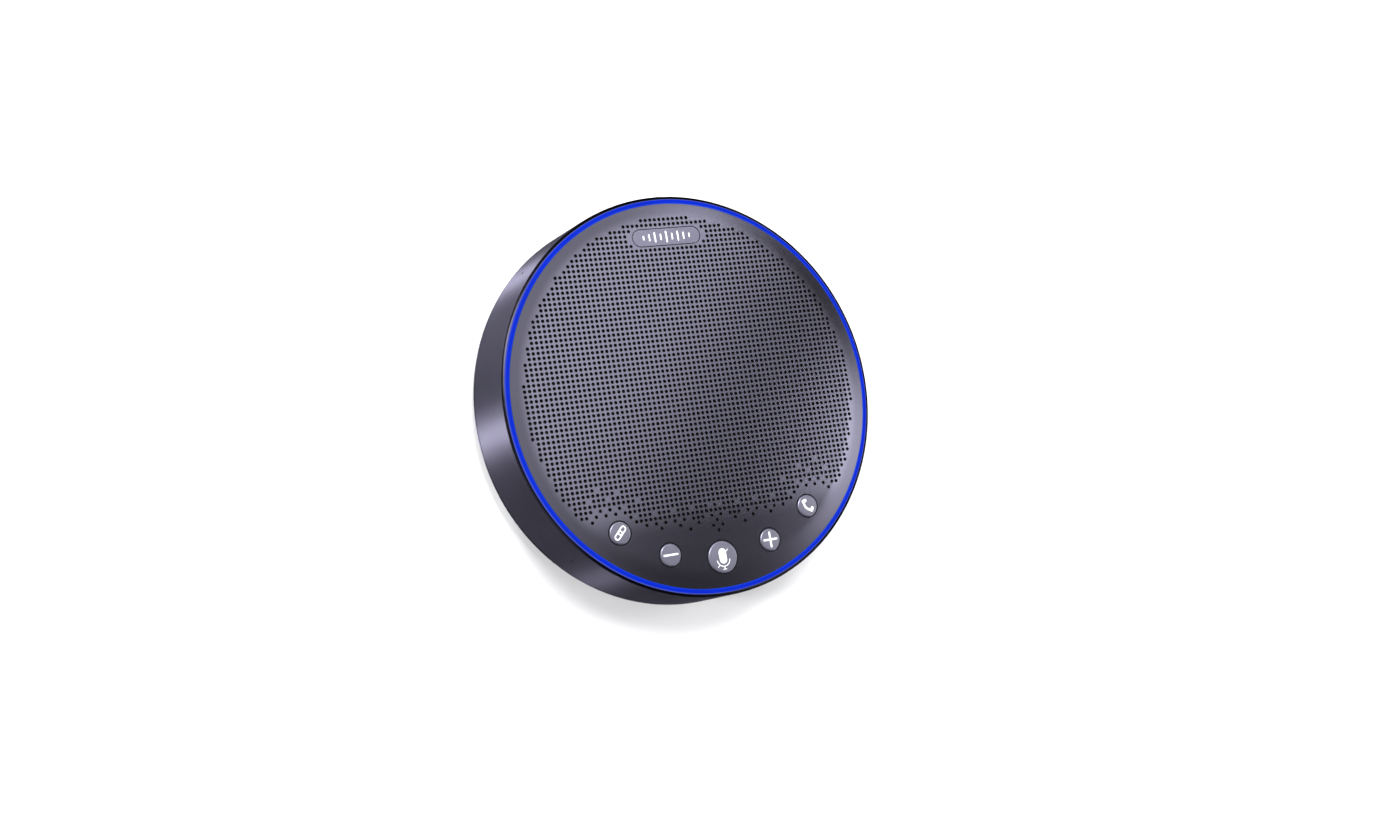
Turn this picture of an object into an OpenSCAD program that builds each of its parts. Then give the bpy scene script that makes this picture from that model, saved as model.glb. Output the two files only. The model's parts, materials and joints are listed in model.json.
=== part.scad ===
// Round conference speakerphone that lies face up on a rubber foot.
// Origin at the centre of the foot's underside, +Z out of the face, +Y towards the badge and the ports.

/* [Case] */
// Radius of the case at its back edge
case_r = 67; // [66.8:0.1:67.6]
// Radius of the case at its front edge
front_r = 66.45; // [66.1:0.05:66.5]
// Drop of the glossy chamfer between the light ring and the front edge
chamfer_drop = 0.8; // [0.6:0.1:1.2]
// Overall height, from the foot's underside to the button tops
case_h = 32; // [31.8:0.1:32.6]
// Height of the back edge, where the visible wall starts
back_edge_z = 6.1; // [5.6:0.1:6.4]
// Gap of the parting line between the bottom cover and the side housing
seam_gap = 0.2; // [0.1:0.05:0.3]

/* [Face] */
// Outer radius of the light ring
ring_r = 65.4; // [65.2:0.05:65.6]
// Visible width of the light ring
ring_w = 1.6; // [1.4:0.1:1.8]
// Thickness of the perforated face plate
grille_t = 1.2; // [1:0.1:1.3]
// Distance of the badge's centre from the face's centre
badge_y = 52.7; // [52:0.1:53]
// Length of the badge over its round ends
badge_l = 25.1; // [22:0.1:26]
// Width of the badge
badge_w = 6.1; // [5:0.1:6.4]

/* [Buttons] */
// Radius of the circle that the button centres lie on
button_pcr = 54; // [53.6:0.1:54.2]
// Angle between neighbouring buttons
button_step = 19.8; // [19.5:0.1:20]
// Radius of the large mute button
mute_r = 5.25; // [4.8:0.05:5.4]
// Radius of the four small buttons
key_r = 3.7; // [3.4:0.05:3.9]
// How far a button stands proud of the face, which is its travel too
button_travel = 0.4; // [0.3:0.05:0.5]
// Clearance round a button
button_gap = 0.25; // [0.2:0.05:0.3]

/* [Speaker] */
// Distance of the speaker's centre from the case's centre, towards the badge
speaker_y = 6; // [5:0.5:6]
// Radius of the basket's flange
speaker_r = 26.5; // [26.5:0.1:27]

/* [Dongle bay] */
// Length of the wireless dongle's body
dongle_l = 15.7; // [15:0.1:16]
// Width of the dongle's body
dongle_w = 15.1; // [14:0.1:15.2]
// Thickness of the dongle's body
dongle_t = 7.5; // [7:0.1:7.6]
// How far the dongle slides to leave its holder
dongle_travel = 13.5; // [13:0.1:13.8]

/* [Hidden] */
$fn = 96;
eps = 0.01;

// Levels of the case, from the bottom up
cover_z = 1.2;
floor_z = 3.8;
foot_top_z = 2.4;
rim_z = back_edge_z + 1;
lip_z = 9;
face_z = case_h - button_travel;
chamfer_z = face_z - chamfer_drop;
ledge_z = face_z - 3.6;
grille_z = face_z - grille_t;
cloth_z = grille_z - 0.3;
plate_z = ledge_z - 2;
led_board_z = plate_z - 3.6;
switch_board_z = plate_z - 2;
board_z = 8;
board_top_z = board_z + 1.6;
mic_z = face_z - 13;

// Radii of the case, from the outside in
wall_in_r = 64.4;
lip_in_r = 62.3;
grille_r = ring_r - ring_w - 0.05;
frame_r = 62.3;
foot_r = [49, 58];
screw_pcr = 53.5;

// Angles round the case. The row of buttons is centred a little off the badge's axis
mic_angles = [45, 135, 225, 315];
screw_angles = [52, 128, 218, 322];
mute_a = -90.6;
plus_a = mute_a + button_step;
minus_a = mute_a - button_step;
call_a = mute_a + 2 * button_step;
link_a = mute_a - 2 * button_step;
key_angles = [plus_a, minus_a, call_a, link_a];
button_angles = concat([mute_a], key_angles);

// Ports on the rear of the case: x and z of their centres
usb_at = [-14, board_top_z + 1.65];
jack_at = [14, board_top_z + 2.6];
power_at = [0, 12];
jack_bore_r = 1.8;
port_face_y = 64.9;
power_travel = 0.5;
power_plunger_y = 58;
power_w = 9.6;
power_h = 3.6;

// Buttons under the face
flange_z = face_z - 2.6;
stem_z = flange_z - 1.1;
switch_h = 2;

// Speaker flange and the screws that hold it
speaker_screw_a = [45, 135, 225, 315];
speaker_screw_pcr = 29;
flange_top_z = plate_z - 0.4;

// Battery cells
cell_r = 9.2;
cell_x = 40;
cell_z = 13.7;
cell_y = [-28.5, 36.5];

// Dongle, lying in its bay with the plug towards -X
dongle_y = -32;
dongle_z = 5.35;
plug_x = -10.5;
plug_l = 13;
plug_w = 12;
plug_h = 4.5;
shoulder_l = 2.2;
bay_x = [plug_x - 0.3, plug_x + dongle_l + dongle_travel + 1.3];
bay_w = 16;
bay_top_z = 9.4;
bay_wall = 1.2;
holder_x = plug_x - plug_l - 1.9;

// Radius of the outer wall at height z
function wall_r(z) = case_r - (case_r - front_r) * (z - back_edge_z) / (chamfer_z - back_edge_z);

// Place the children on a circle of radius r at angle a, turned with it
module at_angle(a, r) {
    rotate([0, 0, a]) translate([r, 0, 0]) children();
}

// Box centred in x and y that stands on z = 0
module block(x, y, z) {
    translate([-x / 2, -y / 2, 0]) cube([x, y, z]);
}

// Bar with a round-cornered w by h section, from the origin towards +Y
module bar_y(w, h, l, r) {
    rotate([-90, 0, 0]) linear_extrude(l) rounded(w, h, r);
}

// Bar with a round-cornered w by h section, from the origin towards +X
module bar_x(w, h, l, r) {
    rotate([90, 0, 90]) linear_extrude(l) rounded(w, h, r);
}

// Rectangle with round corners, centred
module rounded(w, h, r) {
    square([w - 2 * r, h], center = true);
    square([w, h - 2 * r], center = true);
    for (x = [-1, 1], y = [-1, 1]) translate([x * (w / 2 - r), y * (h / 2 - r)]) circle(r);
}

// Place the children at height z over each of the speaker's screws
module at_speaker_screws(z) {
    translate([0, speaker_y, z]) for (a = speaker_screw_a) at_angle(a, speaker_screw_pcr) children();
}

// Ring between two radii and two heights
module ring(r_in, r_out, z0, z1) {
    translate([0, 0, z0]) difference() {
        cylinder(h = z1 - z0, r = r_out);
        translate([0, 0, -1]) cylinder(h = z1 - z0 + 2, r = r_in);
    }
}

// Screw with its head's underside at z = 0 and its shank upwards
module screw(head_r, head_h, shank_r, l) {
    difference() {
        union() {
            translate([0, 0, -head_h]) cylinder(h = head_h, r = head_r);
            cylinder(h = l, r = shank_r);
        }
        translate([0, 0, -head_h - eps]) cylinder(h = head_h * 0.6, r = head_r * 0.5, $fn = 6);
    }
}

// Unit vector along v
function unit(v) = v / norm(v);

// Direction of a path at its point i
function heading(path, i) = unit(path[min(i + 1, len(path) - 1)] - path[max(i - 1, 0)]);

// Points of one ring of a wire, round point i of its path
function wire_ring(path, r, sides, side_axis, i) =
    let (u = unit(cross(heading(path, i), side_axis)), v = cross(heading(path, i), u))
    [for (k = [0:sides - 1]) path[i] + r * (cos(360 * k / sides) * u + sin(360 * k / sides) * v)];

// Wire of radius r along a path that never runs along side_axis
module wire(path, r, side_axis) {
    sides = 8;
    n = len(path);
    rings = [for (i = [0:n - 1]) each wire_ring(path, r, sides, side_axis, i)];
    walls = [for (i = [0:n - 2], k = [0:sides - 1])
        [i * sides + k, (i + 1) * sides + k, (i + 1) * sides + (k + 1) % sides, i * sides + (k + 1) % sides]];
    start = [for (k = [0:sides - 1]) k];
    end = [for (k = [sides - 1:-1:0]) (n - 1) * sides + k];
    polyhedron(points = rings, faces = concat([start, end], walls));
}

module side_housing() {
    color("#4b4757") {
        difference() {
            rotate_extrude($fn = 256) polygon([
                [wall_in_r, rim_z + seam_gap],
                [wall_r(rim_z + seam_gap), rim_z + seam_gap],
                [wall_r(chamfer_z), chamfer_z],
                [ring_r + 0.05, face_z - 0.15],
                [ring_r + 0.05, ledge_z],
                [wall_in_r, ledge_z]
            ]);
            for (a = mic_angles) at_angle(a, wall_in_r - 1) translate([0, 0, mic_z])
                rotate([0, 90, 0]) cylinder(h = 5, r = 0.6);
            translate([usb_at[0], 60, usb_at[1]]) bar_y(9.6, 3.8, 10, 1.89);
            translate([jack_at[0], 60, jack_at[1]]) rotate([-90, 0, 0]) cylinder(h = 10, r = 3.1);
            translate([power_at[0], 60, power_at[1]])
                bar_y(power_w + 2 * button_gap, power_h + 2 * button_gap, 10, power_h / 2 + button_gap - eps);
        }
        for (a = mic_angles, s = [-1, 1]) at_angle(a, wall_in_r - 5.6)
            translate([0, s * 4.8 - 0.6, 13.5]) cube([5.8, 1.2, led_board_z - 13.5]);
    }
}

module bottom_cover() {
    color("#3f3b49") difference() {
        union() {
            rotate_extrude($fn = 256) polygon([
                [0, cover_z], [59.5, cover_z], [62.4, 1.9], [64.9, 3.3], [case_r, back_edge_z],
                [wall_r(rim_z), rim_z], [wall_in_r - 0.1, rim_z], [wall_in_r - 0.1, lip_z],
                [lip_in_r, lip_z], [lip_in_r, 5.8], [57.5, floor_z], [0, floor_z]
            ]);
            // Bosses for the case screws
            for (a = screw_angles) at_angle(a, screw_pcr) translate([0, 0, floor_z - 1])
                cylinder(h = lip_z - floor_z + 1, r = 3.5);
            // Bosses under the main board
            for (p = board_screw_at) translate([p[0], p[1], floor_z - 1])
                cylinder(h = board_z - floor_z + 1, r = 2.6);
            // Cradles under the battery cells
            for (x = [-cell_x, cell_x], y = [-16, 24]) translate([x, y, floor_z - 1]) block(17, 2.4, 6);
            // Housing of the dongle bay
            translate([holder_x, dongle_y - bay_w / 2 - bay_wall, cover_z])
                cube([bay_x[1] - holder_x + bay_wall, bay_w + 2 * bay_wall, bay_top_z + bay_wall - cover_z]);
        }
        // Groove for the foot
        ring(foot_r[0] - 0.1, foot_r[1] + 0.1, cover_z - 1, foot_top_z);
        for (a = screw_angles) at_angle(a, screw_pcr) {
            cylinder(h = 4.2, r = 2.5);
            cylinder(h = 12, r = 1.4);
        }
        for (p = board_screw_at) translate([p[0], p[1], floor_z]) cylinder(h = 6, r = 0.9);
        for (x = [-cell_x, cell_x]) translate([x, -40, cell_z]) rotate([-90, 0, 0])
            cylinder(h = 80, r = cell_r + 0.05);
        // Open bay, and the holder for the plug beyond it
        translate([bay_x[0], dongle_y - bay_w / 2, 0]) cube([bay_x[1] - bay_x[0], bay_w, bay_top_z]);
        translate([plug_x - plug_l - 0.4, dongle_y - plug_w / 2 - 0.2, dongle_z - plug_h / 2 - 0.2])
            cube([plug_l + 1, plug_w + 0.4, plug_h + 0.4]);
        // Finger scoop at the open end of the bay
        translate([bay_x[1] - 1, dongle_y, -2]) cylinder(h = 4.4, r = 7);
    }
}

// Places of the main board's screws
board_screw_at = [[-12, 36], [12, 36], [-24, 52], [24, 52]];

module rubber_foot() {
    color("#1f1e22") rotate_extrude($fn = 192) polygon([
        [foot_r[0] + 0.6, 0], [foot_r[1] - 0.6, 0], [foot_r[1], 0.6], [foot_r[1], foot_top_z],
        [foot_r[0], foot_top_z], [foot_r[0], 0.6]
    ]);
}

module light_ring() {
    ring_in_r = ring_r - ring_w;
    color("#1c3cff") rotate_extrude($fn = 256) polygon([
        [62.6, ledge_z], [ring_r, ledge_z], [ring_r, face_z - 0.25], [ring_r - 0.5, face_z - 0.02],
        [ring_in_r, face_z], [ring_in_r, grille_z], [62.6, grille_z]
    ]);
}

module face_grille() {
    color("#5c5866") difference() {
        translate([0, 0, grille_z]) cylinder(h = grille_t, r = grille_r, $fn = 256);
        for (a = button_angles) at_angle(a, button_pcr) translate([0, 0, grille_z - 1])
            cylinder(h = grille_t + 2, r = (a == mute_a ? mute_r : key_r) + button_gap);
        translate([0, badge_y, face_z - 0.6]) linear_extrude(1) rounded(badge_l, badge_w, badge_w / 2 - eps);
    }
}

module badge() {
    color("#565260") translate([0, badge_y, face_z - 0.6]) linear_extrude(0.6)
        rounded(badge_l - 0.5, badge_w - 0.5, badge_w / 2 - 0.25 - eps);
}

module dust_cloth() {
    color("#15141a") difference() {
        translate([0, 0, cloth_z]) cylinder(h = grille_z - cloth_z, r = 60);
        for (a = button_angles) at_angle(a, button_pcr) translate([0, 0, cloth_z - 1])
            cylinder(h = 3, r = 8.2);
        translate([-65, -70, cloth_z - 1]) cube([130, 22, 3]);
    }
}

// Button cap with a flange under the face and a stem down to its switch
module button_cap(a, r) {
    color("#8f8a9e") at_angle(a, button_pcr) rotate_extrude() polygon([
        [0, stem_z], [1.6, stem_z], [1.6, flange_z], [r + 0.7, flange_z], [r + 0.7, flange_z + 0.8],
        [r, flange_z + 0.8], [r, case_h - 0.3], [r - 0.3, case_h], [0, case_h]
    ]);
}

// Moving actuator of a button's switch
module switch_plunger(a) {
    color("#2a2a2e") at_angle(a, button_pcr) translate([0, 0, stem_z - 1.5]) cylinder(h = 1.5, r = 1.5);
}

module mute_button() { button_cap(mute_a, mute_r); }
module plus_button() { button_cap(plus_a, key_r); }
module minus_button() { button_cap(minus_a, key_r); }
module call_button() { button_cap(call_a, key_r); }
module link_button() { button_cap(link_a, key_r); }
module mute_plunger() { switch_plunger(mute_a); }
module plus_plunger() { switch_plunger(plus_a); }
module minus_plunger() { switch_plunger(minus_a); }
module call_plunger() { switch_plunger(call_a); }
module link_plunger() { switch_plunger(link_a); }

// Angles of the two screws that hold the button board
button_board_screw_a = [plus_a + button_step / 2, minus_a - button_step / 2];

module inner_frame() {
    pilot_r = 1.2;
    color("#2b2a30") difference() {
        union() {
            translate([0, 0, plate_z]) cylinder(h = ledge_z - plate_z, r = frame_r, $fn = 192);
            ring(frame_r - 2, frame_r, ledge_z - eps, cloth_z + 0.3);
            ring(frame_r - 1.3, frame_r, led_board_z + 1, plate_z + eps);
            for (a = screw_angles) at_angle(a, screw_pcr) translate([0, 0, lip_z])
                cylinder(h = plate_z - lip_z + 1, r = 3.5);
            for (a = button_board_screw_a) at_angle(a, button_pcr) translate([0, 0, switch_board_z + 1.2])
                cylinder(h = 1.5, r = 2);
            at_speaker_screws(plate_z - 0.4) cylinder(h = 1, r = 2.6);
        }
        translate([0, speaker_y, plate_z - 1]) cylinder(h = 5, r = speaker_r - 2.4);
        for (a = button_angles) at_angle(a, button_pcr) translate([0, 0, plate_z - 1])
            cylinder(h = 4, r = 4.5);
        for (a = screw_angles) at_angle(a, screw_pcr) translate([0, 0, lip_z - 1])
            cylinder(h = 11, r = pilot_r);
        for (a = button_board_screw_a) at_angle(a, button_pcr) translate([0, 0, switch_board_z])
            cylinder(h = 3.5, r = 0.9);
        at_speaker_screws(plate_z - 1) cylinder(h = 2.7, r = pilot_r);
        // Passage for the leads between the plate and the parts above it
        translate([-46, -6, plate_z - 1]) cube([8, 12, 4]);
        translate([38, -6, plate_z - 1]) cube([8, 12, 4]);
    }
}

module button_board() {
    color("#1d5a3a") difference() {
        rotate([0, 0, -136]) rotate_extrude(angle = 92)
            translate([47.8, switch_board_z]) square([11.8, 1.2]);
        for (a = button_board_screw_a) at_angle(a, button_pcr) translate([0, 0, switch_board_z - 1])
            cylinder(h = 4, r = 1.1);
    }
}

module button_switches() {
    color("#34343a") for (a = button_angles) at_angle(a, button_pcr) difference() {
        translate([0, 0, switch_board_z + 1.2]) block(6, 6, switch_h);
        translate([0, 0, stem_z - 1.5 - button_travel - 0.15]) cylinder(h = 5, r = 1.75);
    }
}

module button_board_screws() {
    color("#b8b8bc") for (a = button_board_screw_a) at_angle(a, button_pcr) translate([0, 0, switch_board_z])
        screw(1.7, 1.2, 0.85, 3.2);
}

module led_board() {
    color("#e8e8ea") ring(58.2, wall_in_r - 0.2, led_board_z, led_board_z + 1);
}

module ring_leds() {
    led_count = 24;
    color("#f4f2d8") for (k = [0:led_count - 1]) at_angle(360 * (k + 0.5) / led_count, frame_r + 1)
        translate([0, 0, led_board_z + 1]) block(1.5, 3.2, 0.9);
}

module speaker_basket() {
    top = flange_top_z;
    color("#3a3a40") translate([0, speaker_y, 0]) difference() {
        union() {
            rotate_extrude() polygon([
                [9.5, 14.5], [17, 14.5], [25, top - 1], [speaker_r, top - 1], [speaker_r, top],
                [22.6, top], [22.6, top - 1], [23.8, top - 1], [16.4, 15.5], [9.5, 15.5]
            ]);
            for (a = speaker_screw_a) at_angle(a, 27) translate([0, 0, top - 1]) {
                translate([0, -3, 0]) cube([2, 6, 1]);
                translate([2, 0, 0]) cylinder(h = 1, r = 3);
            }
            translate([-6, 25, top - 1]) cube([12, 6.5, 1]);
        }
        for (a = speaker_screw_a) at_angle(a, speaker_screw_pcr) cylinder(h = 40, r = 1.4);
        // Windows between the basket's four arms
        for (a = [0, 90, 180, 270]) at_angle(a, 0) translate([15, -9, 16.6]) cube([12, 18, top - 1.8 - 16.6]);
    }
}

module speaker_top_plate() {
    color("#a8a8ac") translate([0, speaker_y, 0]) ring(7.4, 13.5, 12.5, 14.5);
}

module speaker_magnet() {
    color("#2d2d30") translate([0, speaker_y, 0]) ring(8.6, 15, 8, 12.5);
}

module speaker_yoke() {
    color("#a8a8ac") translate([0, speaker_y, 6]) {
        cylinder(h = 2, r = 14);
        cylinder(h = 8.5, r = 6.2);
    }
}

module speaker_gasket() {
    color("#26262a") translate([0, speaker_y, 0])
        ring(speaker_r - 2.3, speaker_r - 0.2, flange_top_z, plate_z);
}

module speaker_terminals() {
    color("#c9a24a") translate([0, speaker_y + 28.8, 0]) {
        translate([0, 0, flange_top_z - 2]) block(10, 3.4, 1);
        for (x = [-3, 3]) translate([x, 0, flange_top_z - 4]) cylinder(h = 2.5, r = 0.6);
    }
}

module speaker_screws() {
    color("#b8b8bc") at_speaker_screws(flange_top_z - 1) screw(2.2, 1.3, 1.1, 2.8);
}

// Half roll between the cone's edge and the basket
roll_at = 21.3;
function arc(r, a0, a1, n) = [for (k = [0:n]) let (a = a0 + (a1 - a0) * k / n)
    [roll_at + r * cos(a), flange_top_z + r * sin(a)]];

module surround() {
    color("#1b1b1e") translate([0, speaker_y, 0]) rotate_extrude() polygon(concat(
        [[24, flange_top_z], [24, flange_top_z + 0.35]],
        arc(1.7, 12, 168, 14),
        [[18.8, flange_top_z + 0.35], [18.8, flange_top_z]],
        arc(1.35, 180, 0, 14)
    ));
}

module cone() {
    color("#3c3c42") translate([0, speaker_y, 0]) rotate_extrude() polygon([
        [7, 17.4], [19.9, flange_top_z - 0.5], [19.9, flange_top_z], [18.8, flange_top_z], [7, 17.9]
    ]);
}

module dust_cap() {
    cap_r = 14;
    base_r = 7.7;
    base_z = 18.4;
    drop = sqrt(cap_r * cap_r - base_r * base_r);
    color("#2c2c31") translate([0, speaker_y, 0]) intersection() {
        translate([0, 0, base_z - drop]) difference() {
            sphere(cap_r);
            sphere(cap_r - 0.35);
        }
        translate([0, 0, base_z]) cylinder(h = 5, r = base_r);
    }
}

module voice_coil() {
    color("#b4672e") translate([0, speaker_y, 0]) rotate_extrude() polygon([
        [6.55, 10.6], [6.75, 10.6], [6.75, 11], [7, 11], [7, 14.8], [6.75, 14.8],
        [6.75, 17.4], [7, 17.4], [7, 17.9], [6.55, 17.9]
    ]);
}

module spider() {
    // Corrugated ring: outline points along the waves, there and back
    waves = [for (k = [0:12]) [7 + k * 0.6, 16.2 + (k % 2) * 0.5]];
    color("#c8a860") translate([0, speaker_y, 0]) rotate_extrude() polygon(concat(
        [[6.75, 16.2]], waves, [[15, 15.5], [16.3, 15.5], [16.3, 15.8], [15, 15.8]],
        [for (k = [12:-1:0]) waves[k] + [0, 0.3]], [[6.75, 16.5]]
    ));
}

module main_board() {
    color("#1d5a3a") difference() {
        intersection() {
            translate([-28, 33, board_z]) cube([56, 27, board_top_z - board_z]);
            cylinder(h = 40, r = 61.8);
        }
        for (p = board_screw_at) translate([p[0], p[1], 0]) cylinder(h = 20, r = 1.1);
    }
}

module main_board_screws() {
    color("#b8b8bc") for (p = board_screw_at) translate([p[0], p[1], board_top_z]) mirror([0, 0, 1])
        screw(1.9, 1.2, 0.85, 5);
}

module processor() {
    color("#18181a") translate([0, 45.5, board_top_z]) block(12, 12, 1.2);
}

module wireless_shield() {
    color("#c2c2c6") difference() {
        translate([-15.2, 49, board_top_z]) block(12.4, 12, 2.2);
        translate([-15.2, 49, board_top_z - eps]) block(12, 11.6, 2);
    }
}

module capacitors() {
    color("#30405c") for (p = [[11.5, 43], [17.5, 43.4], [23.5, 45.4]]) translate([p[0], p[1], board_top_z])
        cylinder(h = 6, r = 2.4);
}

module board_connectors() {
    color("#e6e0cf") {
        translate([0, 36.8, board_top_z]) block(7, 3.6, 4);
        for (x = [-22, 22]) translate([x, 38, board_top_z]) block(6, 4, 3);
        translate([0, 36.2, board_z - 1.8]) block(11, 5, 1.8);
        translate([0, -50.4, switch_board_z - 1.6]) block(11, 4, 1.6);
    }
}

module usb_socket() {
    color("#b9bac0") translate([usb_at[0], 57.6, usb_at[1]]) difference() {
        bar_y(8.94, 3.2, port_face_y - 57.6, 1.59);
        translate([0, 1, 0]) difference() {
            bar_y(8.34, 2.56, 10, 1.27);
            translate([-3.4, 0, -0.35]) cube([6.8, 5.5, 0.7]);
        }
    }
}

module audio_jack() {
    color("#1b1b1e") translate([jack_at[0], 0, jack_at[1]]) difference() {
        union() {
            translate([-3.5, 49, -2.6]) cube([7, 12.6, 5.2]);
            translate([0, 61, 0]) rotate([-90, 0, 0]) cylinder(h = port_face_y - 61, r = 2.9);
        }
        translate([0, port_face_y - 14, 0]) rotate([-90, 0, 0]) cylinder(h = 20, r = jack_bore_r);
    }
}

module power_switch() {
    color("#34343a") translate([power_at[0], 0, board_top_z]) difference() {
        translate([0, 57, 0]) block(6.4, 4, 4.6);
        translate([0, power_plunger_y - power_travel - 0.2, power_at[1] - board_top_z]) rotate([-90, 0, 0])
            cylinder(h = 8, r = 1.25);
    }
}

module power_plunger() {
    color("#d8d8da") translate([power_at[0], power_plunger_y, power_at[1]]) rotate([-90, 0, 0])
        cylinder(h = 1.6, r = 1);
}

module power_button() {
    color("#4b4757") translate([power_at[0], 0, power_at[1]]) {
        translate([0, 62.6, 0]) bar_y(power_w, power_h, 4.2, power_h / 2 - eps);
        translate([0, 62.6, 0]) bar_y(power_w + 2, power_h + 1.6, 1, power_h / 2);
        translate([0, 59.6, 0]) rotate([-90, 0, 0]) cylinder(h = 3.2, r = 1);
    }
}

module battery_cell(x) {
    color("#2f6f9f") translate([x, cell_y[0], cell_z]) rotate([-90, 0, 0]) {
        cylinder(h = cell_y[1] - cell_y[0], r = cell_r - 0.3);
        translate([0, 0, 1.2]) cylinder(h = cell_y[1] - cell_y[0] - 2.4, r = cell_r);
    }
}

module battery_left() { battery_cell(-cell_x); }
module battery_right() { battery_cell(cell_x); }

module battery_straps() {
    color("#8a8a90") for (x = [-cell_x, cell_x]) translate([x, 0, 0]) difference() {
        union() {
            translate([0, 0, cell_z]) rotate([-90, 0, 0]) cylinder(h = 8, r = cell_r + 0.6);
            translate([-cell_r - 0.6, 0, floor_z]) cube([2 * cell_r + 1.2, 8, cell_z - floor_z]);
        }
        translate([0, -1, cell_z]) rotate([-90, 0, 0]) cylinder(h = 10, r = cell_r);
        translate([-cell_r, -1, 0]) cube([2 * cell_r, 10, cell_z]);
    }
}

// Leads from the cells to the main board, round the case screws' pillars
module battery_leads() {
    route = [[38, 36.5, 14.5], [38, 36.8, 14.5], [37.3, 37.4, 14.4], [35.5, 37.6, 14], [32, 37.6, 13],
        [28.6, 37.8, 11.8], [26.6, 38, 11.2], [25, 38, 11.1]];
    color("#a8241f") {
        wire(route, 0.6, [0, 0, 1]);
        mirror([1, 0, 0]) wire(route, 0.6, [0, 0, 1]);
    }
}

module speaker_leads() {
    color("#a8241f") for (s = [-1, 1]) wire([
        [3 * s, 34.8, flange_top_z - 4], [3 * s, 34.8, 20.4], [2.8 * s, 35, 18.8], [2.3 * s, 35.6, 17.2],
        [1.7 * s, 36.3, 15.7], [1.4 * s, 36.7, 14.6], [1.4 * s, 36.8, board_top_z + 4]
    ], 0.5, [0, 1, 0.2]);
}

// Flat ribbon from the button board, over the dongle bay and under the magnet, to the main board
ribbon_t = 0.3;
ribbon_path = [[-48.4, 23.2], [-45.5, 23.2], [-44.2, 21.9], [-44.2, 12.8], [-42.8, 11.4], [-22.6, 11.4],
    [-20.6, 9.4], [-19.6, 6], [-18.2, 4.8], [29.6, 4.8], [32, 6.9], [33.7, 7]];
function ribbon_normal(i) = let (h = heading(ribbon_path, i)) [-h[1], h[0]];

module button_ribbon() {
    n = len(ribbon_path);
    color("#c08a3c") translate([-4, 0, 0]) rotate([90, 0, 90]) linear_extrude(8) polygon(concat(
        ribbon_path, [for (i = [n - 1:-1:0]) ribbon_path[i] + ribbon_t * ribbon_normal(i)]
    ));
}

module mic_boots() {
    color("#232327") for (a = mic_angles) at_angle(a, wall_in_r - 3) translate([0, 0, mic_z]) difference() {
        translate([0, -3.5, -3.5]) cube([2.85, 7, 7]);
        translate([-1, 0, 0]) rotate([0, 90, 0]) cylinder(h = 6, r = 0.6);
    }
}

module mic_boards() {
    color("#1d5a3a") for (a = mic_angles) at_angle(a, wall_in_r - 4) translate([0, 0, mic_z]) difference() {
        translate([0, -4, -3.7]) cube([1, 8, 7.4]);
        translate([-1, 0, 0]) rotate([0, 90, 0]) cylinder(h = 6, r = 0.5);
    }
}

module mic_capsules() {
    color("#c9b27a") for (a = mic_angles) at_angle(a, wall_in_r - 5.1) translate([0, -1.9, mic_z - 1.5])
        cube([1.1, 3.8, 3]);
}

module case_screws() {
    color("#b8b8bc") for (a = screw_angles) at_angle(a, screw_pcr) translate([0, 0, 4.2])
        screw(2.3, 1.6, 1.15, 14);
}

module dongle_body() {
    color("#1e1e22") translate([plug_x, dongle_y, dongle_z]) difference() {
        union() {
            bar_x(plug_w + 1, plug_h + 1.6, shoulder_l + 1, 0.8);
            translate([shoulder_l, 0, 0]) bar_x(dongle_w, dongle_t, dongle_l - shoulder_l - 1.5, 1.2);
        }
        // Window of the status lamp, on the side that faces out of the bay
        translate([3.4, 0, -dongle_t / 2 - 1]) cylinder(h = 1.5, r = 0.5);
    }
}

module dongle_end_cap() {
    cap_x = dongle_l - 1.5;
    color("#55555b") translate([plug_x, dongle_y, dongle_z]) intersection() {
        translate([cap_x, 0, 0]) bar_x(dongle_w, dongle_t, 1.5, 1.2);
        translate([dongle_l - 22, 0, -10]) cylinder(h = 20, r = 22);
    }
}

module dongle_plug_shell() {
    color("#c4c6ca") translate([plug_x - plug_l, dongle_y, dongle_z]) difference() {
        bar_x(plug_w, plug_h, plug_l, 0.5);
        translate([-1, 0, 0]) bar_x(plug_w - 0.6, plug_h - 0.6, plug_l + 2, 0.25);
        for (y = [-2.6, 2.6], z = [-1, 1]) translate([6.4, y, z * plug_h / 2 - 0.5]) block(2.3, 2.3, 1);
    }
}

module dongle_plug_tongue() {
    color("#f0f0f0") translate([plug_x - plug_l + 0.8, dongle_y - (plug_w - 0.7) / 2, dongle_z + 0.05])
        cube([plug_l - 0.8, plug_w - 0.7, 1.8]);
}

side_housing();
bottom_cover();
rubber_foot();
light_ring();
face_grille();
badge();
dust_cloth();
mute_button();
plus_button();
minus_button();
call_button();
link_button();
mute_plunger();
plus_plunger();
minus_plunger();
call_plunger();
link_plunger();
inner_frame();
button_board();
button_switches();
button_board_screws();
led_board();
ring_leds();
speaker_basket();
speaker_magnet();
speaker_yoke();
speaker_top_plate();
speaker_gasket();
speaker_terminals();
speaker_screws();
cone();
surround();
spider();
voice_coil();
dust_cap();
main_board();
main_board_screws();
processor();
wireless_shield();
capacitors();
board_connectors();
usb_socket();
audio_jack();
power_switch();
power_button();
power_plunger();
battery_left();
battery_right();
battery_straps();
battery_leads();
speaker_leads();
button_ribbon();
mic_boots();
mic_boards();
mic_capsules();
case_screws();
dongle_body();
dongle_end_cap();
dongle_plug_shell();
dongle_plug_tongue();
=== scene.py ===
import json
import math

import bmesh
import bpy
from mathutils import Matrix, Vector
from mathutils.geometry import delaunay_2d_cdt


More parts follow.
